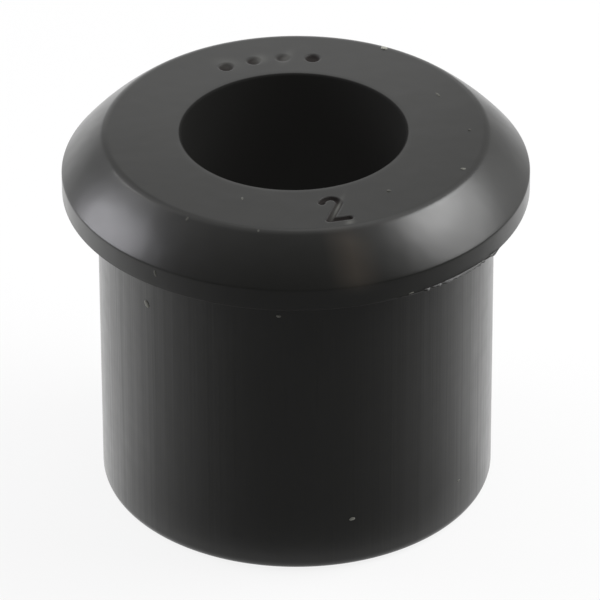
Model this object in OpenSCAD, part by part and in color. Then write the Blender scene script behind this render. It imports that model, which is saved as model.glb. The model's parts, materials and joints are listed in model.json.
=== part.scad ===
// Strain relief bushing: a flanged rubber sleeve, moulded in one piece.
// The sleeve drops into a gland body or a panel hole and the flange stops it there. A nut that
// presses on the shoulder and the top face squeezes the rubber onto the cable in the bore.
// The bushing stands on its foot, with +Z up the bore and the origin in the middle of the foot.

/* [Barrel] */
// Outside diameter of the barrel
barrel_d = 17.5; // [14:0.1:19]
// Length of the barrel, from the foot to the flange's seat
barrel_l = 14.5; // [6:0.1:30]
// Rounding of the foot's outer edge
foot_r = 0.5; // [0.1:0.05:1.2]
// Rounding of the inner corner where the barrel runs into the flange
root_r = 0.2; // [0.05:0.05:0.6]

/* [Bore] */
// Diameter of the bore that the cable passes through
bore_d = 9.9; // [4:0.1:12.5]
// Rounding of the bore's edge, at the top face and at the foot
mouth_r = 0.12; // [0.04:0.02:0.5]

/* [Flange] */
// Outside diameter of the flange, at its rim
flange_d = 20.6; // [19:0.1:26]
// Height of the straight rim, from the seat to the shoulder
rim_h = 1.05; // [0.6:0.05:3]
// Rounding of the rim's edges, at the seat and at the shoulder
rim_r = 0.15; // [0.05:0.05:0.25]

/* [Shoulder] */
// Width of the sloping shoulder, seen from above
shoulder_w = 1.9; // [1:0.05:2.8]
// Height of the sloping shoulder
shoulder_h = 1.85; // [1:0.05:4]
// How far the middle of the shoulder bulges past a straight cone
shoulder_crown = 0.085; // [0.02:0.005:0.2]
// Rounding between the shoulder and the top face
top_edge_r = 0.6; // [0.1:0.05:1]

/* [Hidden] */

$fa = 3;
$fs = 0.05;

// How far the cutting shapes run past the rubber
past = 1;

barrel_radius = barrel_d / 2;
bore_radius = bore_d / 2;
rim_radius = flange_d / 2;
seat_z = barrel_l;
rim_top_z = seat_z + rim_h;
top_z = rim_top_z + shoulder_h;

// The shoulder is an arc from the rim's top corner to the top face's corner. Its radius follows
// from the length of that chord and the crown, and its centre lies square to the chord's middle.
shoulder_slope = norm([shoulder_w, shoulder_h]);
shoulder_arc_r = (shoulder_slope ^ 2 / 4 + shoulder_crown ^ 2) / (2 * shoulder_crown);
shoulder_centre = [rim_radius - shoulder_w / 2, rim_top_z + shoulder_h / 2]
    - (shoulder_arc_r - shoulder_crown) * [shoulder_h, shoulder_w] / shoulder_slope;

// Centres of the two roundings that run into the shoulder's arc without a crease: one also
// touches the rim and the other the top face
rim_round_x = rim_radius - rim_r;
rim_round = [rim_round_x, shoulder_centre.y
    + sqrt((shoulder_arc_r - rim_r) ^ 2 - (rim_round_x - shoulder_centre.x) ^ 2)];
top_round_z = top_z - top_edge_r;
top_round = [shoulder_centre.x
    + sqrt((shoulder_arc_r - top_edge_r) ^ 2 - (top_round_z - shoulder_centre.y) ^ 2), top_round_z];

// Direction, in degrees, from the centre of the shoulder's arc to a point
function direction_to(point) =
    atan2(point.y - shoulder_centre.y, point.x - shoulder_centre.x);

// Cuts off what lies outside a rounding of radius r about a centre, from one direction to another
module edge_cut(centre, r, from, to) {
    far = r / cos((to - from) / 2) + past;
    translate(centre)
        difference() {
            polygon([
                [0, 0],
                far * [cos(from), sin(from)],
                far * [cos((from + to) / 2), sin((from + to) / 2)],
                far * [cos(to), sin(to)]
            ]);
            circle(r);
        }
}

// Half section of the barrel, solid to the axis
module barrel_section() {
    square([barrel_radius, seat_z + rim_h]);
}

// Half section of the flange, solid to the axis: a square rim under the shoulder's arc
module flange_section() {
    translate([0, seat_z])
        square([rim_radius, rim_h]);
    intersection() {
        translate([0, rim_top_z])
            square([rim_radius, shoulder_h]);
        translate(shoulder_centre)
            circle(shoulder_arc_r);
    }
}

// Fills the corner under the flange with a hollow rounding
module root_fill() {
    difference() {
        translate([barrel_radius, seat_z - root_r])
            square(root_r);
        translate([barrel_radius + root_r, seat_z - root_r])
            circle(root_r);
    }
}

// Every rounding of an outer edge, from the foot up, and then the bore's two edges
module rounded_edges() {
    edge_cut([barrel_radius - foot_r, foot_r], foot_r, -90, 0);
    edge_cut([rim_radius - rim_r, seat_z + rim_r], rim_r, -90, 0);
    edge_cut(rim_round, rim_r, 0, direction_to(rim_round));
    edge_cut(top_round, top_edge_r, direction_to(top_round), 90);
    edge_cut([bore_radius + mouth_r, top_z - mouth_r], mouth_r, 90, 180);
    edge_cut([bore_radius + mouth_r, mouth_r], mouth_r, 180, 270);
}

// The rubber's half section, with the axis at x = 0
module section() {
    difference() {
        union() {
            barrel_section();
            flange_section();
            root_fill();
        }
        translate([-past, -past])
            square([bore_radius + past, top_z + 2 * past]);
        rounded_edges();
    }
}

module bushing() {
    color("#29292b")
        rotate_extrude()
            section();
}

bushing();
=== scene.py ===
import json
import math

import bpy
import numpy as np
from mathutils import Matrix, Vector


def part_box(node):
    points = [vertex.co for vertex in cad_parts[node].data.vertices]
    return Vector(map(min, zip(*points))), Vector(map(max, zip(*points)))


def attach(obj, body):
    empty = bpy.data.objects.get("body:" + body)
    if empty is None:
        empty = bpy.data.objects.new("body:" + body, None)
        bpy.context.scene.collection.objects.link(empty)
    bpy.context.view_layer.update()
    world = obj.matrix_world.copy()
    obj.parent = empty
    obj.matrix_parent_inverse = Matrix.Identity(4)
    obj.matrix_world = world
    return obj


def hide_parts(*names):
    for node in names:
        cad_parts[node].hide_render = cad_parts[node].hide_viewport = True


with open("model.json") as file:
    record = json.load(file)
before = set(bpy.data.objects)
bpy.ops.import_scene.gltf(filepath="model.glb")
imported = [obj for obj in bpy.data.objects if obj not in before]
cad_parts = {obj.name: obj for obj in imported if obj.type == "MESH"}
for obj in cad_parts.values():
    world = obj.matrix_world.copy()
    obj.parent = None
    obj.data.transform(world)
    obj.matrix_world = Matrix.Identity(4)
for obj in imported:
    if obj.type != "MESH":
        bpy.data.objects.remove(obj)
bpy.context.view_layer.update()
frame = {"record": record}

bl_info = {
    "name": "Strain Relief Bushing",
    "version": (1, 0, 0),
    "blender": (4, 5, 0),
    "location": "View3D > Sidebar > Bushing",
    "description": "Dresses the moulded rubber bushing and lights it on a pale sheet",
    "category": "Object",
}

# One millimetre and one degree, in the script's own units
MM = 0.001
DEG = math.pi / 180

# What the CAD part fixes: its round mounts, its seat and its height
MOUNTS = {mount["name"]: mount for mount in frame["record"]["mounts"]}
BORE_RADIUS = MOUNTS["cable_bore"]["dims"]["r_mm"] * MM
BARREL_RADIUS = MOUNTS["barrel"]["dims"]["r_mm"] * MM
SEAT_HEIGHT = MOUNTS["flange_seat"]["pos_m"][2]
FLANGE_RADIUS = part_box("bushing")[1].x
TOP_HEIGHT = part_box("bushing")[1].z

# What the lamps and the camera point at, on the axis below the flange
AIM = Vector((0, 0, 0.9 * FLANGE_RADIUS))


def srgb(code, alpha=1.0):
    """The linear colour of an sRGB hex value."""
    shares = [int(code[i : i + 2], 16) / 255 for i in (0, 2, 4)]
    linear = [c / 12.92 if c <= 0.04045 else ((c + 0.055) / 1.055) ** 2.4 for c in shares]
    return (*linear, alpha)


# ---------------------------------------------------------------------------------------------
# Settings
# ---------------------------------------------------------------------------------------------


class MouldingSettings(bpy.types.PropertyGroup):
    """Sizes of the moulding that its mounts don't give."""

    shoulder_width: bpy.props.FloatProperty(
        name="Shoulder width",
        description="Width of the sloping shoulder, seen from above",
        default=1.9 * MM,
        subtype="DISTANCE",
        unit="LENGTH",
        precision=5,
    )
    shoulder_height: bpy.props.FloatProperty(
        name="Shoulder height",
        description="Height of the sloping shoulder",
        default=1.85 * MM,
        subtype="DISTANCE",
        unit="LENGTH",
        precision=5,
    )
    shoulder_crown: bpy.props.FloatProperty(
        name="Shoulder crown",
        description="How far the middle of the shoulder bulges past a straight cone",
        default=0.085 * MM,
        subtype="DISTANCE",
        unit="LENGTH",
        precision=6,
    )
    top_rounding: bpy.props.FloatProperty(
        name="Top rounding",
        description="Rounding between the shoulder and the top face",
        default=0.6 * MM,
        subtype="DISTANCE",
        unit="LENGTH",
        precision=5,
    )
    rim_rounding: bpy.props.FloatProperty(
        name="Rim rounding",
        description="Rounding of the rim's two edges",
        default=0.15 * MM,
        subtype="DISTANCE",
        unit="LENGTH",
        precision=5,
    )
    root_rounding: bpy.props.FloatProperty(
        name="Root rounding",
        description="Rounding of the corner between the barrel and the seat",
        default=0.2 * MM,
        subtype="DISTANCE",
        unit="LENGTH",
        precision=5,
    )
    foot_rounding: bpy.props.FloatProperty(
        name="Foot rounding",
        description="Rounding of the foot's outer edge",
        default=0.5 * MM,
        subtype="DISTANCE",
        unit="LENGTH",
        precision=5,
    )
    mouth_rounding: bpy.props.FloatProperty(
        name="Mouth rounding",
        description="Rounding of the bore's two edges",
        default=0.12 * MM,
        subtype="DISTANCE",
        unit="LENGTH",
        precision=5,
    )
    core_offset: bpy.props.FloatProperty(
        name="Core offset",
        description="How far the mould's core pin, and so the bore, stands to the left",
        default=0.09 * MM,
        subtype="DISTANCE",
        unit="LENGTH",
        precision=6,
    )


class MarkSettings(bpy.types.PropertyGroup):
    """Marks that the mould leaves: a numeral, four pips and a line of flash."""

    numeral_azimuth: bpy.props.FloatProperty(
        name="Numeral azimuth",
        description="Where the numeral stands on the top face, counted from the front",
        default=14.2 * DEG,
        subtype="ANGLE",
        unit="ROTATION",
    )
    numeral_height: bpy.props.FloatProperty(
        name="Numeral height",
        description="Height of the numeral",
        default=2.1 * MM,
        subtype="DISTANCE",
        unit="LENGTH",
        precision=5,
    )
    numeral_width: bpy.props.FloatProperty(
        name="Numeral width",
        description="Width of the numeral",
        default=1.25 * MM,
        subtype="DISTANCE",
        unit="LENGTH",
        precision=5,
    )
    stroke_width: bpy.props.FloatProperty(
        name="Stroke width",
        description="Width of the numeral's groove",
        default=0.36 * MM,
        subtype="DISTANCE",
        unit="LENGTH",
        precision=5,
    )
    mark_depth: bpy.props.FloatProperty(
        name="Mark depth",
        description="Depth of the numeral's groove and of the pips",
        default=0.13 * MM,
        subtype="DISTANCE",
        unit="LENGTH",
        precision=5,
    )
    mark_radius: bpy.props.FloatProperty(
        name="Mark radius",
        description="Distance of the numeral's middle from the bore's axis",
        default=6.78 * MM,
        subtype="DISTANCE",
        unit="LENGTH",
        precision=5,
    )
    pip_azimuth: bpy.props.FloatProperty(
        name="Pip azimuth",
        description="Middle of the row of pips on the top face, counted from the front",
        default=-169 * DEG,
        subtype="ANGLE",
        unit="ROTATION",
    )
    pip_spacing: bpy.props.FloatProperty(
        name="Pip spacing",
        description="Angle from one pip to the next",
        default=11.9 * DEG,
        subtype="ANGLE",
        unit="ROTATION",
    )
    pip_radius: bpy.props.FloatProperty(
        name="Pip radius",
        description="Distance of the pips from the bore's axis",
        default=6.4 * MM,
        subtype="DISTANCE",
        unit="LENGTH",
        precision=5,
    )
    pip_size: bpy.props.FloatProperty(
        name="Pip size",
        description="Diameter of a pip",
        default=0.8 * MM,
        subtype="DISTANCE",
        unit="LENGTH",
        precision=5,
    )
    flash_reach: bpy.props.FloatProperty(
        name="Flash reach",
        description="How far the flash stands out from the rim's lower edge",
        default=0.14 * MM,
        subtype="DISTANCE",
        unit="LENGTH",
        precision=6,
    )


class FinishSettings(bpy.types.PropertyGroup):
    """Colours of the rubber, of the marks, stains and pale spots on it, one of them a painted glint,
    and of the dust.
    """

    rubber: bpy.props.FloatVectorProperty(
        name="Rubber",
        description="Carbon-black rubber",
        default=srgb("1a1a18"),
        size=4,
        subtype="COLOR",
    )
    rubber_bloom: bpy.props.FloatVectorProperty(
        name="Rubber bloom",
        description="Rubber where a trace of bloom has come to the surface",
        default=srgb("1f1f1d"),
        size=4,
        subtype="COLOR",
    )
    bore_wall: bpy.props.FloatVectorProperty(
        name="Bore wall",
        description="Darker, duller rubber inside the bore",
        default=srgb("121211"),
        size=4,
        subtype="COLOR",
    )
    mark_ground: bpy.props.FloatVectorProperty(
        name="Mark ground",
        description="Rubber in the bottom of the moulded marks",
        default=srgb("242120"),
        size=4,
        subtype="COLOR",
    )
    # Pale colour of the spots on the top face, one of them a painted glint in front of the numeral
    pale_spot_and_glint_colour: bpy.props.FloatVectorProperty(
        name="Scuff",
        description="Rubber that something has rubbed pale",
        default=srgb("50504c"),
        size=4,
        subtype="COLOR",
    )
    smear: bpy.props.FloatVectorProperty(
        name="Smear",
        description="Brownish film on the shoulder below the numeral",
        default=srgb("38332d"),
        size=4,
        subtype="COLOR",
    )
    dust: bpy.props.FloatVectorProperty(
        name="Dust",
        description="The palest grains of dust on the rubber",
        default=srgb("9c9c93"),
        size=4,
        subtype="COLOR",
    )


class StudioSettings(bpy.types.PropertyGroup):
    """The sheet, the lamps and the camera."""

    sheet: bpy.props.FloatVectorProperty(
        name="Sheet",
        description="Pale sheet that the bushing stands on",
        default=srgb("e8e8e8"),
        size=4,
        subtype="COLOR",
    )
    camera_distance: bpy.props.FloatProperty(
        name="Camera distance",
        description="Distance from the camera to the point it looks at",
        default=288.4 * MM,
        subtype="DISTANCE",
        unit="LENGTH",
    )
    camera_elevation: bpy.props.FloatProperty(
        name="Camera elevation",
        description="How steeply the camera looks down",
        default=32.14 * DEG,
        subtype="ANGLE",
        unit="ROTATION",
    )
    camera_roll: bpy.props.FloatProperty(
        name="Camera roll",
        description="Turn of the camera about its own line of sight",
        default=-0.236 * DEG,
        subtype="ANGLE",
        unit="ROTATION",
    )


# ---------------------------------------------------------------------------------------------
# Shapes, as arrays
# ---------------------------------------------------------------------------------------------


def arc(centre, radius, start, stop, steps):
    """Points (radius, height) on an arc about a centre, from one angle to another in degrees.
    The last point is left out, because the next stretch of the section starts there."""
    turn = np.radians(np.linspace(start, stop, steps, endpoint=False))
    return np.column_stack(
        (centre[0] + radius * np.cos(turn), centre[1] + radius * np.sin(turn))
    )


def run(start, stop, steps):
    """Evenly spaced points on a straight line, without the last one."""
    share = np.linspace(0, 1, steps, endpoint=False)[:, None]
    return (1 - share) * np.array(start) + share * np.array(stop)


def graded(start, stop, coarse, fine, zones):
    """Values from start up to stop, which is left out. Their spacing is fine inside the zones and
    coarse outside: they cut the running total of 1 / spacing into equal steps."""
    probe = np.linspace(start, stop, 8001)
    spacing = np.full(probe.shape, coarse)
    for low, high in zones:
        spacing[(probe > low) & (probe < high)] = fine
    total = np.concatenate(([0], np.cumsum(np.diff(probe) / spacing[:-1])))
    steps = math.ceil(total[-1])
    return np.interp(np.arange(steps) / steps * total[-1], total, probe)


def smooth(share):
    """0 below 0, 1 above 1 and an S-curve between, 3 x^2 - 2 x^3."""
    share = np.clip(share, 0, 1)
    return share * share * (3 - 2 * share)


def moulding_section(moulding, marks):
    """The rubber's half section as one closed loop of (radius, height), clockwise from the bore's
    foot: up the bore, out over the top face, down the shoulder, the rim and the barrel. Straight
    runs and arcs meet without a crease, apart from the mould's own edges."""
    bore, barrel, rim = BORE_RADIUS, BARREL_RADIUS, FLANGE_RADIUS
    seat, top = SEAT_HEIGHT, TOP_HEIGHT
    width, height = moulding.shoulder_width, moulding.shoulder_height
    crown, mouth = moulding.shoulder_crown, moulding.mouth_rounding
    foot, root = moulding.foot_rounding, moulding.root_rounding
    edge, brow = moulding.rim_rounding, moulding.top_rounding

    # The shoulder is an arc through both of its corners, and crown is its height over that chord
    slope = math.hypot(width, height)
    swing = (slope**2 / 4 + crown**2) / (2 * crown)
    middle = np.array((rim - width / 2, top - height / 2))
    centre = middle - (swing - crown) * np.array((height, width)) / slope

    # Both roundings touch the shoulder's arc from inside, so their centres lie on circles about
    # its centre
    rim_x = rim - edge
    rim_round = (rim_x, centre[1] + math.sqrt((swing - edge) ** 2 - (rim_x - centre[0]) ** 2))
    brow_z = top - brow
    brow_round = (
        centre[0] + math.sqrt((swing - brow) ** 2 - (brow_z - centre[1]) ** 2),
        brow_z,
    )
    rim_angle = math.degrees(math.atan2(rim_round[1] - centre[1], rim_round[0] - centre[0]))
    brow_angle = math.degrees(math.atan2(brow_round[1] - centre[1], brow_round[0] - centre[0]))

    half = marks.numeral_height / 2 + marks.stroke_width
    marked = (marks.mark_radius - half, marks.mark_radius + half)
    face = graded(bore + mouth, brow_round[0], 0.2 * MM, 0.042 * MM, [marked])
    return np.concatenate(
        (
            run((bore, mouth), (bore, top - mouth), 22),
            arc((bore + mouth, top - mouth), mouth, 180, 90, 6),
            np.column_stack((face, np.full(face.shape, top))),
            arc(brow_round, brow, 90, brow_angle, 10),
            arc(centre, swing, brow_angle, rim_angle, 22),
            arc(rim_round, edge, rim_angle, 0, 5),
            run((rim, rim_round[1]), (rim, seat + edge), 7),
            arc((rim_x, seat + edge), edge, 0, -90, 16),
            run((rim_x, seat), (barrel + root, seat), 6),
            arc((barrel + root, seat - root), root, 90, 180, 6),
            run((barrel, seat - root), (barrel, foot), 24),
            arc((barrel - foot, foot), foot, 0, -90, 10),
            run((barrel - foot, 0), (bore + mouth, 0), 8),
            arc((bore + mouth, mouth), mouth, 270, 180, 6),
        )
    )


def numeral_distance(across, along, width, height):
    """Distance from points to the centre line of a plain numeral two. The line is an arc for the
    bowl, a straight neck down to the lower left and a straight base. across runs to the right
    and along runs up, both from the numeral's middle."""
    bowl = 0.42 * width
    bowl_x = -0.06 * width
    bowl_y = height / 2 - bowl
    start, stop = 165 * DEG, -32 * DEG
    base_y = -height / 2
    neck_top = bowl * np.array((math.cos(stop), math.sin(stop))) + (bowl_x, bowl_y)
    corner = np.array((-width / 2, base_y))

    x, y = across - bowl_x, along - bowl_y
    turn = np.clip(np.arctan2(y, x), stop, start)
    behind = np.arctan2(y, x) < (start + stop) / 2 - math.pi
    turn = np.where(behind, start, turn)
    near = np.hypot(x - bowl * np.cos(turn), y - bowl * np.sin(turn))
    for first, last in ((neck_top, corner), (corner, np.array((width / 2, base_y)))):
        step = last - first
        share = ((across - first[0]) * step[0] + (along - first[1]) * step[1]) / (step @ step)
        share = np.clip(share, 0, 1)
        gap = np.hypot(across - first[0] - share * step[0], along - first[1] - share * step[1])
        near = np.minimum(near, gap)
    return near


def mark_depth(x, y, marks):
    """Depth of the moulded marks under the top face: a groove with soft walls along the numeral's
    centre line, and a row of round dimples whose two middle ones are worn."""
    sine, cosine = math.sin(marks.numeral_azimuth), math.cos(marks.numeral_azimuth)
    across = x * cosine + y * sine
    along = marks.mark_radius - (x * sine - y * cosine)
    width = marks.numeral_width - marks.stroke_width
    height = marks.numeral_height - marks.stroke_width
    gap = numeral_distance(across, along, width, height)
    depth = marks.mark_depth * smooth(1.5 - 3 * gap / marks.stroke_width)
    for place, wear in ((-1.5, 1.0), (-0.5, 0.45), (0.5, 0.6), (1.5, 1.0)):
        azimuth = marks.pip_azimuth + place * marks.pip_spacing
        pip = marks.pip_radius * np.array((math.sin(azimuth), -math.cos(azimuth)))
        gap = 2 * np.hypot(x - pip[0], y - pip[1]) / marks.pip_size
        depth = np.maximum(depth, wear * marks.mark_depth * smooth(1.6 - 1.6 * gap))
    return depth


def waves(turn, count, seed):
    """A smooth wavy value from 0 to 1 around the bushing: a sum of sines of the azimuth with
    seeded phases. Wave k has 9 k crests all round and a strength of 1 / sqrt(k)."""
    phase = np.random.default_rng(seed).uniform(0, 2 * math.pi, count)
    order = np.arange(1, count + 1)
    value = (np.sin(turn[..., None] * order * 9 + phase) / order**0.5).sum(-1)
    return smooth(0.5 + value / 4)


# Pale spots on the top face: a pale streak across the numeral, a painted glint just in front of its
# base and three pale patches among the pips behind. Each gives its azimuth from the front in
# degrees, distance from the axis, length and width in millimetres, direction in degrees (0 to the
# right, 90 to the rear) and strength
PALE_SPOTS_AND_GLINT = (
    (15.2, 6.74, 1.6, 0.17, 74, 0.9),
    (16.7, 8.05, 0.4, 0.28, 50, 0.85),
    (-166, 6.5, 0.7, 0.6, 90, 0.45),
    (-176.5, 6.5, 1.1, 0.4, 70, 0.4),
    (-153, 6.7, 1.2, 0.7, 160, 0.3),
)


def pale_spot_and_glint_strength(x, y):
    """How pale the top face is painted at its pale spots and at the painted glint: for each a soft
    spot exp(-4 (u^2 + v^2)), with u counted in its lengths and v in its widths from its middle."""
    pale = np.zeros_like(x)
    for azimuth, distance, length, width, way, strength in PALE_SPOTS_AND_GLINT:
        right = x / MM - distance * math.sin(azimuth * DEG)
        rear = y / MM + distance * math.cos(azimuth * DEG)
        sine, cosine = math.sin(way * DEG), math.cos(way * DEG)
        u = (right * cosine + rear * sine) / length
        v = (rear * cosine - right * sine) / width
        pale = np.maximum(pale, strength * np.exp(-4 * (u * u + v * v)))
    return pale


def moulding_surface(moulding, marks):
    """The whole skin of the bushing as a grid of points, section step by azimuth step, with the
    masks that its material reads. A point of the section (r, z) carried to azimuth a lies at
    (r sin a, -r cos a, z). A narrow band of the rim's lower edge is pushed out into the flash,
    the bore moves aside with its core pin, and the marks lower the top face, less so under the
    pale spots and the painted glint."""
    section = moulding_section(moulding, marks)
    half = marks.numeral_width / marks.mark_radius / 1.2
    row = 1.5 * marks.pip_spacing + marks.pip_size / marks.pip_radius
    flash_start, flash_stop = 24 * DEG, 60 * DEG
    pips = (marks.pip_azimuth - row, marks.pip_azimuth + row)
    numeral_and_flash = (marks.numeral_azimuth - half, flash_stop)
    start = pips[0] - 1 * DEG
    fine = [pips, numeral_and_flash]
    turn = graded(start, start + 2 * math.pi, 1.5 * DEG, 0.37 * DEG, fine)

    radius, azimuth = np.meshgrid(section[:, 0], turn, indexing="ij")
    height = np.repeat(section[:, 1:], len(turn), axis=1)

    # The flash: highest in the middle of its band on the lower edge, and ragged along the rim.
    # Elsewhere it was torn off, which leaves the edge dull
    rim = smooth((radius - FLANGE_RADIUS + 0.1 * MM) / (0.05 * MM))
    band = smooth(1.3 - np.abs(height - (SEAT_HEIGHT + 0.05 * MM)) / (0.07 * MM))
    rising = smooth((azimuth - flash_start) / (6 * DEG))
    along = rising * smooth((flash_stop - azimuth) / (5 * DEG))
    ragged = 0.25 + 0.75 * waves(azimuth, 24, seed=3)
    flash = band * rim * along * ragged
    radius = radius + marks.flash_reach * flash
    edge = smooth(3 - 3 * np.abs(height - SEAT_HEIGHT) / (0.15 * MM)) * rim
    torn = edge * (1 - 0.6 * along)

    # The core pin stands a little off the axis, which the flat faces take up
    aside = smooth((BARREL_RADIUS - radius) / (BARREL_RADIUS - BORE_RADIUS))
    x = radius * np.sin(azimuth) - moulding.core_offset * aside
    y = -radius * np.cos(azimuth)

    on_top = height > TOP_HEIGHT - 1e-9
    pale_spot_and_glint = np.where(on_top, pale_spot_and_glint_strength(x, y), 0)
    depth = np.where(on_top, mark_depth(x, y, marks), 0) * (1 - 0.6 * pale_spot_and_glint)
    grid = np.stack((x, y, height - depth), axis=-1)

    # The numeral in front is fully dull from a sixth of its depth on, and the smoother pips
    # behind from half of theirs
    dulling = np.where(y < 0, 6, 2)
    dull = np.minimum(dulling * depth / marks.mark_depth, 1) * (1 - 0.8 * pale_spot_and_glint)
    core = smooth((BORE_RADIUS + moulding.mouth_rounding - radius) / (0.06 * MM))
    return grid, {"marked": dull + 0.6 * torn, "core": core, "pale_spot_and_glint": pale_spot_and_glint}


def closed_grid_faces(rows, columns):
    """Quads of a grid that closes on itself both ways, as a ring does, wound to face outward when
    the rows run clockwise round the section and the columns counter-clockwise from above."""
    index = np.arange(rows * columns).reshape(rows, columns)
    down = np.roll(index, -1, axis=0)
    return np.stack(
        (index, np.roll(index, -1, axis=1), np.roll(down, -1, axis=1), down), axis=-1
    ).reshape(-1, 4)


# Where dust lies. Each grain has its azimuth from the front in degrees, its distance from the
# axis and its height in millimetres, the slope of the surface's normal in degrees (0 on a wall,
# 90 on the top face), its own length and width in millimetres, the direction of its length in
# degrees and how pale it is
DUST = (
    (-22, 6.17, 17.4, 90, 0.3, 0.11, 95, 0.26),
    (-33, 8.55, 17.27, 60, 0.26, 0.13, 90, 0.2),
    (-11, 8.45, 17.32, 60, 0.2, 0.14, 90, 0.19),
    (-36, 10.3, 15.25, 0, 0.34, 0.12, 105, 0.28),
    (-48, 8.75, 12.15, 0, 0.42, 0.26, 128, 0.5),
    (-5, 8.75, 13.3, 0, 0.23, 0.15, 0, 0.31),
    (151.2, 8.25, 17.39, 80, 0.34, 0.3, 160, 1.0),
    (116, 7.0, 17.4, 90, 0.4, 0.13, 120, 0.25),
    (90, 7.62, 17.4, 90, 0.15, 0.17, 0, 0.17),
    (65.5, 8.0, 17.39, 80, 0.28, 0.18, 120, 0.41),
    (38, 6.5, 17.4, 90, 0.22, 0.18, 0, 0.19),
    (28.5, 10.28, 14.62, -20, 0.34, 0.14, 10, 0.35),
    (16, 8.75, 2.55, 0, 0.28, 0.17, 8, 0.57),
    (55, 8.75, 2.3, 0, 0.22, 0.08, 0, 0.43),
)


def dust_grains(places):
    """Flat grains, one at each place: an ellipsoid (a cos v cos u, b cos v sin u, c sin v) with
    closed poles, laid on the surface and 0.4 times as thick as it is wide. A direction of 0
    points to the right, and 90 points to the rear on the top face and up on a wall. Gives the
    points, the mask of how pale they are, and the faces."""
    azimuth, distance, height, slope, length, width, way, pale = places.T
    azimuth, slope, way = azimuth * DEG, slope * DEG, way[:, None] * DEG
    flat = slope > 85 * DEG
    outward = np.stack((np.sin(azimuth), -np.cos(azimuth), 0 * azimuth), axis=-1)
    upward = np.array((0.0, 0.0, 1.0))
    centre = distance[:, None] * outward + height[:, None] * upward
    normal = np.cos(slope)[:, None] * outward + np.sin(slope)[:, None] * upward
    sideways = np.stack((np.cos(azimuth), np.sin(azimuth), 0 * azimuth), axis=-1)
    sideways = np.where(flat[:, None], (1.0, 0.0, 0.0), sideways)
    other = np.cross(normal, sideways)
    first = np.cos(way) * sideways + np.sin(way) * other
    second = np.cross(normal, first)

    rings, spokes = 5, 10
    tilt = (np.arange(1, rings + 1) / (rings + 1) - 0.5) * math.pi
    turn = np.arange(spokes) / spokes * 2 * math.pi
    ball = np.stack(
        (
            np.outer(np.cos(tilt), np.cos(turn)),
            np.outer(np.cos(tilt), np.sin(turn)),
            np.outer(np.sin(tilt), np.ones(spokes)),
        ),
        axis=-1,
    ).reshape(-1, 3)
    ball = np.concatenate((ball, [(0, 0, -1), (0, 0, 1)]))
    length, width = length[:, None] / 2, width[:, None] / 2
    axes = np.stack((first * length, second * width, normal * width * 0.4), axis=1)
    points = centre[:, None, :] + np.einsum("pk,gkd->gpd", ball, axes)

    index = np.arange(rings * spokes).reshape(rings, spokes)
    beside = np.roll(index, -1, axis=1)
    sides = np.stack((index[:-1], beside[:-1], beside[1:], index[1:]), axis=-1).reshape(-1, 4)
    south, north = rings * spokes, rings * spokes + 1
    low = np.stack((beside[0], index[0], np.full(spokes, south)), axis=-1)
    high = np.stack((index[-1], beside[-1], np.full(spokes, north)), axis=-1)
    count = len(ball)
    faces = []
    for start in range(0, len(places) * count, count):
        faces += [*(sides + start).tolist(), *(low + start).tolist(), *(high + start).tolist()]
    return points * MM, {"pale": np.repeat(pale, count)}, faces


def make_piece(name, points, masks, faces, material):
    """A mesh object at the origin, with its place in its points and smooth shading. Each mask
    becomes an attribute with one value at each point, for the material to read."""
    mesh = bpy.data.meshes.new(name)
    mesh.from_pydata(points.reshape(-1, 3), [], faces)
    mesh.polygons.foreach_set("use_smooth", np.ones(len(mesh.polygons), bool))
    for mask, values in masks.items():
        mesh.attributes.new(mask, "FLOAT", "POINT").data.foreach_set("value", values.ravel())
    mesh.materials.append(material)
    mesh.update()
    piece = bpy.data.objects.new(name, mesh)
    bpy.context.scene.collection.objects.link(piece)
    return piece


# ---------------------------------------------------------------------------------------------
# Materials
# ---------------------------------------------------------------------------------------------


def add_node(tree, kind, settings=None, **inputs):
    """Adds a node, sets its own settings, and fills or links each named input. An input's name is
    written with underscores for its spaces, or as an underscore and its place's number."""
    node = tree.nodes.new(kind)
    for name, value in (settings or {}).items():
        setattr(node, name, value)
    for name, value in inputs.items():
        key = int(name[1:]) if name[1:].isdigit() else name.replace("_", " ")
        if isinstance(value, bpy.types.NodeSocket):
            tree.links.new(value, node.inputs[key])
        else:
            node.inputs[key].default_value = value
    return node


def new_material(name):
    """An empty node material and its tree."""
    material = bpy.data.materials.new(name)
    material.use_nodes = True
    material.node_tree.nodes.clear()
    return material, material.node_tree


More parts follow.
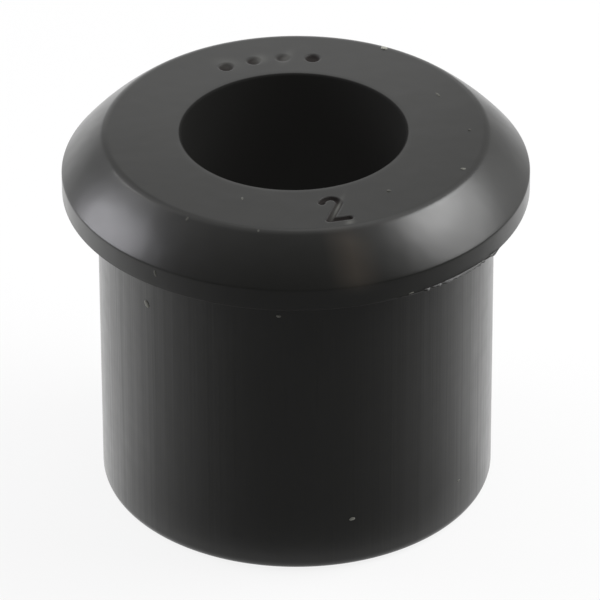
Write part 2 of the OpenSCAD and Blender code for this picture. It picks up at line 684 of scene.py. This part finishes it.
def moulded_rubber(finish):
    """Neoprene, compression moulded and filled with carbon black. The steel mould's ground faces
    give it a satin gloss, in which a lamp shows as a bright patch with soft borders. The barrel
    keeps fine lines from being drawn out of its cavity, and the bore is duller, from its rougher
    core pin."""
    material, tree = new_material("moulded black neoprene")
    place = add_node(tree, "ShaderNodeTexCoord").outputs["Object"]
    parts = add_node(tree, "ShaderNodeSeparateXYZ", Vector=place).outputs

    # Bloom drifts over the surface in patches of about 3 mm
    bloom = add_node(
        tree, "ShaderNodeTexNoise", Vector=place, Scale=1 / (3 * MM), Detail=4.0, Roughness=0.6
    ).outputs["Fac"]
    colour = add_node(
        tree,
        "ShaderNodeMix",
        {"data_type": "RGBA"},
        _0=bloom,
        _6=tuple(finish.rubber),
        _7=tuple(finish.rubber_bloom),
    ).outputs[2]

    # A brownish smear runs down the shoulder below the numeral, 15 degrees round from the front,
    # and fades out 1.2 mm to each side
    aside = add_node(
        tree,
        "ShaderNodeVectorMath",
        {"operation": "DOT_PRODUCT"},
        _0=place,
        _1=(math.cos(15 * DEG), math.sin(15 * DEG), 0.0),
    ).outputs["Value"]
    aside = add_node(tree, "ShaderNodeMath", {"operation": "ABSOLUTE"}, _0=aside).outputs["Value"]
    narrow = add_node(
        tree, "ShaderNodeMapRange", Value=aside, From_Min=1.2 * MM, From_Max=0.0
    ).outputs["Result"]
    in_front = add_node(
        tree, "ShaderNodeMapRange", Value=parts["Y"], From_Min=-8.0 * MM, From_Max=-8.6 * MM
    ).outputs["Result"]
    on_shoulder = add_node(
        tree,
        "ShaderNodeMapRange",
        Value=parts["Z"],
        From_Min=SEAT_HEIGHT + 0.6 * MM,
        From_Max=SEAT_HEIGHT + 1.4 * MM,
    ).outputs["Result"]
    smear = add_node(
        tree, "ShaderNodeMath", {"operation": "MULTIPLY"}, _0=narrow, _1=in_front
    ).outputs["Value"]
    smear = add_node(
        tree, "ShaderNodeMath", {"operation": "MULTIPLY"}, _0=smear, _1=on_shoulder
    ).outputs["Value"]
    colour = add_node(
        tree,
        "ShaderNodeMix",
        {"data_type": "RGBA"},
        _0=smear,
        _6=colour,
        _7=tuple(finish.smear),
    ).outputs[2]

    # The marks' ground and the rim's torn edge are rough, and so paler and dull
    marked = add_node(tree, "ShaderNodeAttribute", {"attribute_name": "marked"}).outputs["Fac"]
    colour = add_node(
        tree,
        "ShaderNodeMix",
        {"data_type": "RGBA"},
        _0=marked,
        _6=colour,
        _7=tuple(finish.mark_ground),
    ).outputs[2]

    # The pale spots on the top face, one of them a painted glint in front of the numeral's base
    pale_spot_and_glint = add_node(tree, "ShaderNodeAttribute", {"attribute_name": "pale_spot_and_glint"}).outputs["Fac"]
    colour = add_node(
        tree,
        "ShaderNodeMix",
        {"data_type": "RGBA"},
        _0=pale_spot_and_glint,
        _6=colour,
        _7=tuple(finish.pale_spot_and_glint_colour),
    ).outputs[2]

    # The bore, which the rougher core pin moulded
    inside = add_node(tree, "ShaderNodeAttribute", {"attribute_name": "core"}).outputs["Fac"]
    colour = add_node(
        tree,
        "ShaderNodeMix",
        {"data_type": "RGBA"},
        _0=inside,
        _6=colour,
        _7=tuple(finish.bore_wall),
    ).outputs[2]

    # Gloss: 0.3, uneven by 0.02 either way in patches of 0.8 mm, and dull in the marks and the
    # bore. It stays above 0.275, under which the denoiser takes it for a mirror and would draw
    # the patches' borders as hard lines
    patches = add_node(
        tree, "ShaderNodeTexNoise", Vector=place, Scale=1 / (0.8 * MM), Detail=1.0
    ).outputs["Fac"]
    gloss = add_node(
        tree,
        "ShaderNodeMapRange",
        Value=patches,
        From_Min=0.2,
        From_Max=0.8,
        To_Min=0.28,
        To_Max=0.32,
    ).outputs["Result"]
    dull = add_node(
        tree, "ShaderNodeMath", {"operation": "MAXIMUM"}, _0=inside, _1=marked
    ).outputs["Value"]
    roughness = add_node(
        tree, "ShaderNodeMix", {"data_type": "FLOAT"}, _0=dull, _2=gloss, _3=0.8
    ).outputs[0]

    # Draw lines: noise stretched a hundred times along the barrel, lines about 0.5 mm apart
    stretched = add_node(
        tree, "ShaderNodeMapping", Vector=place, Scale=(1, 1, 1 / 100)
    ).outputs["Vector"]
    lines = add_node(
        tree, "ShaderNodeTexNoise", Vector=stretched, Scale=1 / (0.5 * MM), Detail=3.0, Roughness=0.6
    ).outputs["Fac"]
    below_seat = add_node(
        tree,
        "ShaderNodeMapRange",
        Value=parts["Z"],
        From_Min=SEAT_HEIGHT - 0.1 * MM,
        From_Max=SEAT_HEIGHT - 0.5 * MM,
    ).outputs["Result"]
    drawn = add_node(
        tree, "ShaderNodeMath", {"operation": "MULTIPLY"}, _0=lines, _1=below_seat
    ).outputs["Value"]

    # The rubber's slack: waves of about 1.4 mm that break up a highlight
    slack = add_node(
        tree, "ShaderNodeTexNoise", Vector=place, Scale=1 / (1.4 * MM), Detail=1.0
    ).outputs["Fac"]
    bump = add_node(tree, "ShaderNodeBump", Height=slack, Distance=0.014 * MM, Strength=1.0)
    bump = add_node(
        tree,
        "ShaderNodeBump",
        Height=drawn,
        Distance=0.016 * MM,
        Strength=1.0,
        Normal=bump.outputs["Normal"],
    )

    # A very weak glow of the bore's wall: painted light that lifts the bore out of its shade. The
    # dull parts reflect only a fifth as much as the rest
    painted_bore_glow = add_node(
        tree, "ShaderNodeMath", {"operation": "MULTIPLY"}, _0=inside, _1=0.0055
    ).outputs["Value"]
    shine = add_node(
        tree, "ShaderNodeMapRange", Value=dull, To_Min=0.5, To_Max=0.1
    ).outputs["Result"]
    shader = add_node(
        tree,
        "ShaderNodeBsdfPrincipled",
        Base_Color=colour,
        Roughness=roughness,
        IOR=1.5,
        Specular_IOR_Level=shine,
        Emission_Color=srgb("fffcf7"),
        Emission_Strength=painted_bore_glow,
        Normal=bump.outputs["Normal"],
    )
    add_node(tree, "ShaderNodeOutputMaterial", Surface=shader.outputs["BSDF"])
    return material


def settled_dust(finish):
    """Grey mineral dust, fully dull. A mask says how pale each grain is, from a thin trace of dust
    to a solid grain."""
    material, tree = new_material("settled grey dust")
    pale = add_node(tree, "ShaderNodeAttribute", {"attribute_name": "pale"}).outputs["Fac"]
    colour = add_node(
        tree,
        "ShaderNodeMix",
        {"data_type": "RGBA"},
        _0=pale,
        _6=srgb("000000"),
        _7=tuple(finish.dust),
    ).outputs[2]
    shader = add_node(tree, "ShaderNodeBsdfPrincipled", Base_Color=colour, Roughness=0.9)
    add_node(tree, "ShaderNodeOutputMaterial", Surface=shader.outputs["BSDF"])
    return material


def pale_sheet(studio):
    """Matt white paper. The camera sees it white, with the bushing's soft shadow. Reflections see
    it bright behind the bushing and falling into shade in front."""
    material, tree = new_material("matt white paper")
    rays = add_node(tree, "ShaderNodeLightPath").outputs
    place = add_node(tree, "ShaderNodeTexCoord").outputs["Object"]

    # What reflections see: from 0.19 straight in front up to 1.34 behind, as seen from a point
    # 4 mm in front of the axis
    from_front = add_node(tree, "ShaderNodeVectorMath", _0=place, _1=(0.0, 4 * MM, 0.0))
    outward = add_node(
        tree,
        "ShaderNodeVectorMath",
        {"operation": "NORMALIZE"},
        _0=from_front.outputs["Vector"],
    )
    behind = add_node(
        tree,
        "ShaderNodeVectorMath",
        {"operation": "DOT_PRODUCT"},
        _0=outward.outputs["Vector"],
        _1=(-0.08, 1.0, 0.0),
    ).outputs["Value"]
    share = add_node(
        tree, "ShaderNodeMapRange", Value=behind, From_Min=-1.0, From_Max=0.3
    ).outputs["Result"]
    share = add_node(
        tree, "ShaderNodeMath", {"operation": "POWER"}, _0=share, _1=1.7
    ).outputs["Value"]
    falling = add_node(
        tree, "ShaderNodeMapRange", Value=share, To_Min=0.19, To_Max=1.34
    ).outputs["Result"]

    # The far right of the sheet lies in shade
    across = add_node(tree, "ShaderNodeSeparateXYZ", Vector=place).outputs["X"]
    fade = add_node(
        tree,
        "ShaderNodeMapRange",
        Value=across,
        From_Min=18 * MM,
        From_Max=45 * MM,
        To_Min=1.0,
        To_Max=0.6,
    ).outputs["Result"]
    falling = add_node(
        tree, "ShaderNodeMath", {"operation": "MULTIPLY"}, _0=falling, _1=fade
    ).outputs["Value"]

    # Round the foot the front of the sheet is brighter again, by up to 0.56: a painted pool of light
    away = add_node(tree, "ShaderNodeVectorMath", {"operation": "LENGTH"}, _0=place)
    foot = add_node(
        tree,
        "ShaderNodeMapRange",
        {"interpolation_type": "SMOOTHSTEP"},
        Value=away.outputs["Value"],
        From_Min=BARREL_RADIUS + 2.8 * MM,
        From_Max=BARREL_RADIUS - 0.2 * MM,
        To_Max=0.56,
    ).outputs["Result"]
    front = add_node(
        tree, "ShaderNodeMath", {"operation": "SUBTRACT"}, _0=1.0, _1=share
    ).outputs["Value"]
    falling = add_node(
        tree, "ShaderNodeMath", {"operation": "MULTIPLY_ADD"}, _0=foot, _1=front, _2=falling
    ).outputs["Value"]

    # The camera sees 0.86 of plain white and 0.14 of lit paper, which carries the shadow
    strength = add_node(
        tree, "ShaderNodeMix", {"data_type": "FLOAT"}, _0=rays["Is Camera Ray"], _2=falling, _3=1.0
    ).outputs[0]
    glow = add_node(tree, "ShaderNodeEmission", Strength=strength).outputs["Emission"]
    seen = add_node(
        tree, "ShaderNodeMath", {"operation": "MULTIPLY"}, _0=rays["Is Camera Ray"], _1=0.86
    ).outputs["Value"]
    seen = add_node(
        tree, "ShaderNodeMath", {"operation": "ADD"}, _0=seen, _1=rays["Is Glossy Ray"]
    ).outputs["Value"]
    seen = add_node(
        tree,
        "ShaderNodeMath",
        {"operation": "ADD", "use_clamp": True},
        _0=seen,
        _1=rays["Is Transmission Ray"],
    ).outputs["Value"]
    paper = add_node(tree, "ShaderNodeBsdfDiffuse", Color=tuple(studio.sheet)).outputs["BSDF"]
    mixed = add_node(tree, "ShaderNodeMixShader", _0=seen, _1=paper, _2=glow).outputs["Shader"]
    add_node(tree, "ShaderNodeOutputMaterial", Surface=mixed)
    return material


# ---------------------------------------------------------------------------------------------
# Lamps and surroundings
# ---------------------------------------------------------------------------------------------


def area_lamp(name, azimuth, elevation, distance, size, radiance, roll=0.0, tint="ffffff"):
    """A soft elliptical lamp that faces AIM. Azimuth counts from the front to the right, and roll
    turns the lamp about its own line of sight. Distance and size are in metres. Its power is
    radiance times pi times its area, which is what it gives off."""
    across = math.cos(elevation)
    direction = Vector(
        (across * math.sin(azimuth), -across * math.cos(azimuth), math.sin(elevation))
    )
    light = bpy.data.lights.new(name, "AREA")
    light.shape = "ELLIPSE"
    light.size, light.size_y = size
    light.energy = radiance * math.pi * math.pi * size[0] * size[1] / 4
    light.color = srgb(tint)[:3]
    lamp = bpy.data.objects.new(name, light)
    turn = direction.to_track_quat("Z", "Y").to_matrix() @ Matrix.Rotation(roll, 3, "Z")
    lamp.matrix_world = Matrix.Translation(AIM + distance * direction) @ turn.to_4x4()
    lamp.visible_camera = False
    bpy.context.scene.collection.objects.link(lamp)


def studio_dome():
    """The light from all round: white to the camera, and otherwise bright behind the bushing and
    dim in front of it, as in a light tent that is open towards the camera."""
    world = bpy.data.worlds.new("light tent")
    world.use_nodes = True
    tree = world.node_tree
    tree.nodes.clear()
    rays = add_node(tree, "ShaderNodeLightPath").outputs
    direction = add_node(tree, "ShaderNodeTexCoord").outputs["Generated"]
    height = add_node(tree, "ShaderNodeSeparateXYZ", Vector=direction).outputs["Z"]

    # From 0.1 in front to 0.53 behind
    behind = add_node(
        tree,
        "ShaderNodeVectorMath",
        {"operation": "DOT_PRODUCT"},
        _0=direction,
        _1=(-0.1, 0.99, 0.0),
    ).outputs["Value"]
    depth = add_node(
        tree,
        "ShaderNodeMapRange",
        Value=behind,
        From_Min=-0.6,
        From_Max=0.25,
        To_Min=0.1,
        To_Max=0.53,
    ).outputs["Result"]

    # 12 percent brighter at the horizon, and 30 percent overhead
    horizon = add_node(
        tree,
        "ShaderNodeMapRange",
        Value=height,
        From_Min=0.0,
        From_Max=0.5,
        To_Min=1.12,
        To_Max=1.0,
    ).outputs["Result"]
    zenith = add_node(
        tree, "ShaderNodeMapRange", Value=height, From_Min=0.58, From_Max=0.85, To_Max=0.3
    ).outputs["Result"]
    level = add_node(
        tree, "ShaderNodeMath", {"operation": "ADD"}, _0=horizon, _1=zenith
    ).outputs["Value"]
    tent = add_node(
        tree, "ShaderNodeMath", {"operation": "MULTIPLY"}, _0=depth, _1=level
    ).outputs["Value"]

    strength = add_node(
        tree, "ShaderNodeMix", {"data_type": "FLOAT"}, _0=rays["Is Camera Ray"], _2=tent, _3=1.0
    ).outputs[0]
    shader = add_node(tree, "ShaderNodeBackground", Color=srgb("ffffff"), Strength=strength)
    add_node(tree, "ShaderNodeOutputWorld", Surface=shader.outputs["Background"])
    bpy.context.scene.world = world


# ---------------------------------------------------------------------------------------------
# Operators
# ---------------------------------------------------------------------------------------------


class BUSHING_OT_moulding(bpy.types.Operator):
    """Make the rubber moulding, with the marks that its mould leaves"""

    bl_idname = "bushing.moulding"
    bl_label = "Rubber Moulding"

    def execute(self, context):
        scene = context.scene
        grid, masks = moulding_surface(scene.bushing_moulding, scene.bushing_marks)
        faces = closed_grid_faces(*grid.shape[:2])
        rubber = moulded_rubber(scene.bushing_finish)
        piece = make_piece("rubber_bushing", grid, masks, faces, rubber)
        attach(piece, "root")
        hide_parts("bushing")
        return {"FINISHED"}


class BUSHING_OT_dust(bpy.types.Operator):
    """Scatter the dust grains that lie on the rubber"""

    bl_idname = "bushing.dust"
    bl_label = "Dust"

    def execute(self, context):
        points, masks, faces = dust_grains(np.array(DUST, float))
        dust = settled_dust(context.scene.bushing_finish)
        piece = make_piece("dust", points, masks, faces, dust)
        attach(piece, "root")
        return {"FINISHED"}


class BUSHING_OT_studio(bpy.types.Operator):
    """Set up the pale sheet, the soft lamps and the camera"""

    bl_idname = "bushing.studio"
    bl_label = "Studio"

    def execute(self, context):
        scene = context.scene
        studio = scene.bushing_studio
        scene.view_settings.view_transform = "Standard"

        # The sheet, a flat square 1.2 m wide
        half = 0.6
        corners = np.array([(-half, -half, 0), (half, -half, 0), (half, half, 0), (-half, half, 0)])
        sheet = make_piece("sheet", corners, {}, [(0, 1, 2, 3)], pale_sheet(studio))

        # Lamps for the highlights of the shoulder and the barrel, and weak cards behind them all
        studio_dome()
        cool = "faf9ff"
        area_lamp("left softbox", -101 * DEG, 24.5 * DEG, 0.15, (0.105, 0.057), 7.0, 33 * DEG, cool)
        area_lamp("right softbox", 101 * DEG, 46.5 * DEG, 0.15, (0.08, 0.055), 5.6)
        area_lamp("right skirt", 98 * DEG, 39.5 * DEG, 0.15, (0.12, 0.11), 4.2)
        area_lamp("left tube", -120 * DEG, 39 * DEG, 0.15, (0.08, 0.006), 12.0, 48 * DEG)
        area_lamp("back card", -174 * DEG, 33 * DEG, 0.026, (0.03, 0.014), 0.4)
        area_lamp("right overhead card", 148 * DEG, 60 * DEG, 0.12, (0.1, 0.06), 0.7)
        area_lamp("left overhead card", -128 * DEG, 50 * DEG, 0.12, (0.06, 0.045), 0.6)
        area_lamp("left card", -150 * DEG, 4 * DEG, 0.12, (0.09, 0.03), 0.38)
        area_lamp("right card", 122 * DEG, 18 * DEG, 0.12, (0.06, 0.05), 0.4)

        # The camera has a long lens, and stands a little to the right of its line to AIM and below
        tilt = Matrix.Rotation(math.pi / 2 - studio.camera_elevation, 3, "X")
        view = tilt @ Matrix.Rotation(studio.camera_roll, 3, "Z")
        right, down = 0.0158 * FLANGE_RADIUS, 0.0521 * FLANGE_RADIUS
        offset = Vector((right, -down, studio.camera_distance))
        camera = bpy.data.objects.new("camera", bpy.data.cameras.new("camera"))
        camera.data.sensor_width = 36
        camera.data.lens = 389
        camera.data.clip_start = 0.01
        camera.matrix_world = Matrix.Translation(AIM + view @ offset) @ view.to_4x4()
        scene.collection.objects.link(camera)
        scene.camera = camera
        return {"FINISHED"}


class BUSHING_PT_panel(bpy.types.Panel):
    """Lists the bushing's settings and its steps"""

    bl_label = "Strain Relief Bushing"
    bl_idname = "BUSHING_PT_panel"
    bl_space_type = "VIEW_3D"
    bl_region_type = "UI"
    bl_category = "Bushing"

    def draw(self, context):
        layout = self.layout
        scene = context.scene
        groups = (
            (scene.bushing_moulding, BUSHING_OT_moulding),
            (scene.bushing_marks, None),
            (scene.bushing_finish, BUSHING_OT_dust),
            (scene.bushing_studio, BUSHING_OT_studio),
        )
        for settings, operator in groups:
            box = layout.box()
            for name in settings.__annotations__:
                box.prop(settings, name)
            if operator:
                box.operator(operator.bl_idname)


CLASSES = (
    MouldingSettings,
    MarkSettings,
    FinishSettings,
    StudioSettings,
    BUSHING_OT_moulding,
    BUSHING_OT_dust,
    BUSHING_OT_studio,
    BUSHING_PT_panel,
)


def register():
    """Register the classes and hang the settings on the scene."""
    for cls in CLASSES:
        bpy.utils.register_class(cls)
    scene = bpy.types.Scene
    scene.bushing_moulding = bpy.props.PointerProperty(type=MouldingSettings)
    scene.bushing_marks = bpy.props.PointerProperty(type=MarkSettings)
    scene.bushing_finish = bpy.props.PointerProperty(type=FinishSettings)
    scene.bushing_studio = bpy.props.PointerProperty(type=StudioSettings)


def unregister():
    """Take back what register did."""
    scene = bpy.types.Scene
    del scene.bushing_moulding
    del scene.bushing_marks
    del scene.bushing_finish
    del scene.bushing_studio
    for cls in reversed(CLASSES):
        bpy.utils.unregister_class(cls)


def main():
    """Make every piece."""
    register()
    bpy.ops.bushing.moulding()
    bpy.ops.bushing.dust()
    bpy.ops.bushing.studio()


if __name__ == "__main__":
    main()
